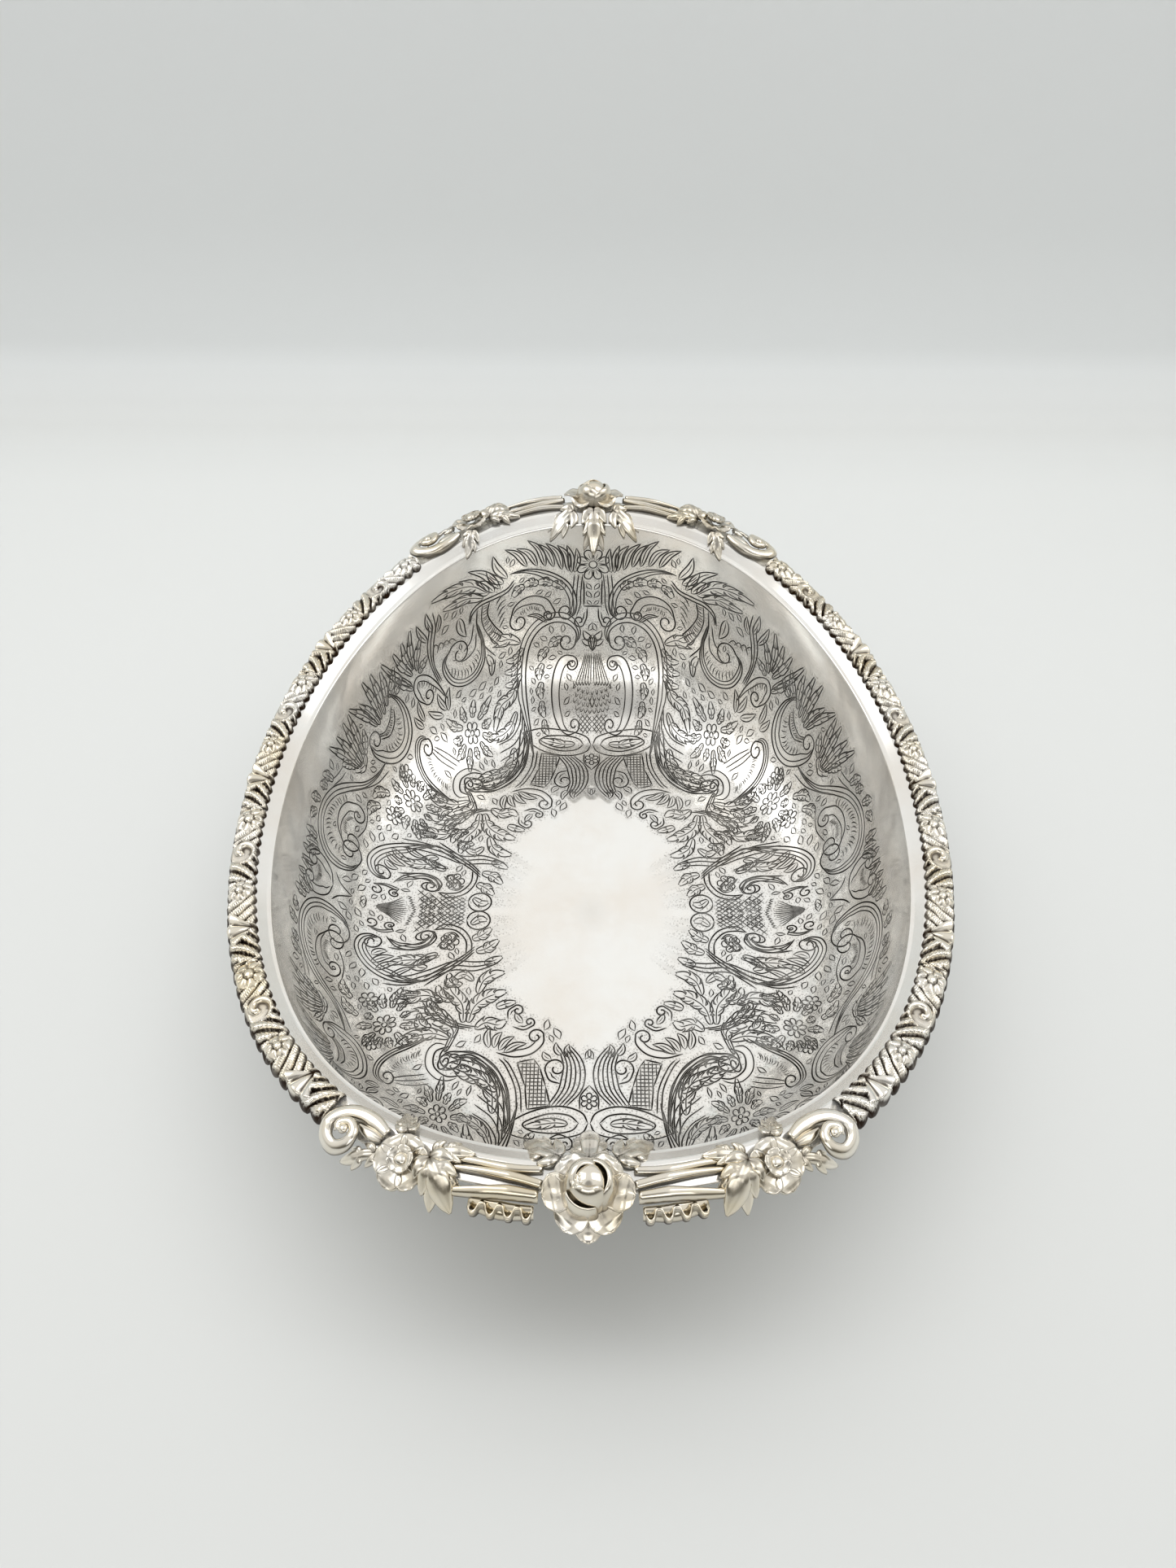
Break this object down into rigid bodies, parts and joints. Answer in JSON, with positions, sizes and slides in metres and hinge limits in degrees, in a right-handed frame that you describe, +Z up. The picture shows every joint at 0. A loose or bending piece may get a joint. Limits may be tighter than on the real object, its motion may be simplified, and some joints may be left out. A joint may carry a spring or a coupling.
{
  "type": "vanity tray",
  "caption": "Oval boat-shaped silver plated dish with a chased interior, cast foliate side borders and a rose garland at each end.",
  "frame": {"origin": "on the table, under the middle of the dish", "axes": "+Y along the dish's length, +X across it, +Z up"},
  "size_m": [0.2704, 0.3344, 0.1198],
  "materials": {
    "bowl": "polished silver plate, chased, with dark oxidised grooves",
    "foot": "polished silver plate",
    "border": "cast silver plate with yellow-brown tarnish in its recesses",
    "garland": "cast silver plate, bright on its crests",
    "rose": "cast silver plate with warm yellow tarnish"
  },
  "bodies": {
    "root": {"bowl_body": "bowl", "foot_ring": "foot", "border_right_1": "border", "border_right_2": "border", "border_right_3": "border", "border_right_4": "border", "border_left_1": "border", "border_left_2": "border", "border_left_3": "border", "border_left_4": "border", "rose_bloom_back": "rose", "rose_leaf_middle_back": "garland", "rose_leaf_right_back": "garland", "reed_pair_right_back": "garland", "ruffle_right_back": "garland", "acanthus_right_back": "garland", "flower_right_back": "garland", "flower_leaf_right_back": "garland", "scroll_right_back": "garland", "rose_leaf_left_back": "garland", "reed_pair_left_back": "garland", "ruffle_left_back": "garland", "acanthus_left_back": "garland", "flower_left_back": "garland", "flower_leaf_left_back": "garland", "scroll_left_back": "garland", "rose_bloom_front": "rose", "rose_leaf_middle_front": "garland", "rose_leaf_right_front": "garland", "reed_pair_right_front": "garland", "ruffle_right_front": "garland", "acanthus_right_front": "garland", "flower_right_front": "garland", "flower_leaf_right_front": "garland", "scroll_right_front": "garland", "rose_leaf_left_front": "garland", "reed_pair_left_front": "garland", "ruffle_left_front": "garland", "acanthus_left_front": "garland", "flower_left_front": "garland", "flower_leaf_left_front": "garland", "scroll_left_front": "garland"}
  },
  "joints": []
}
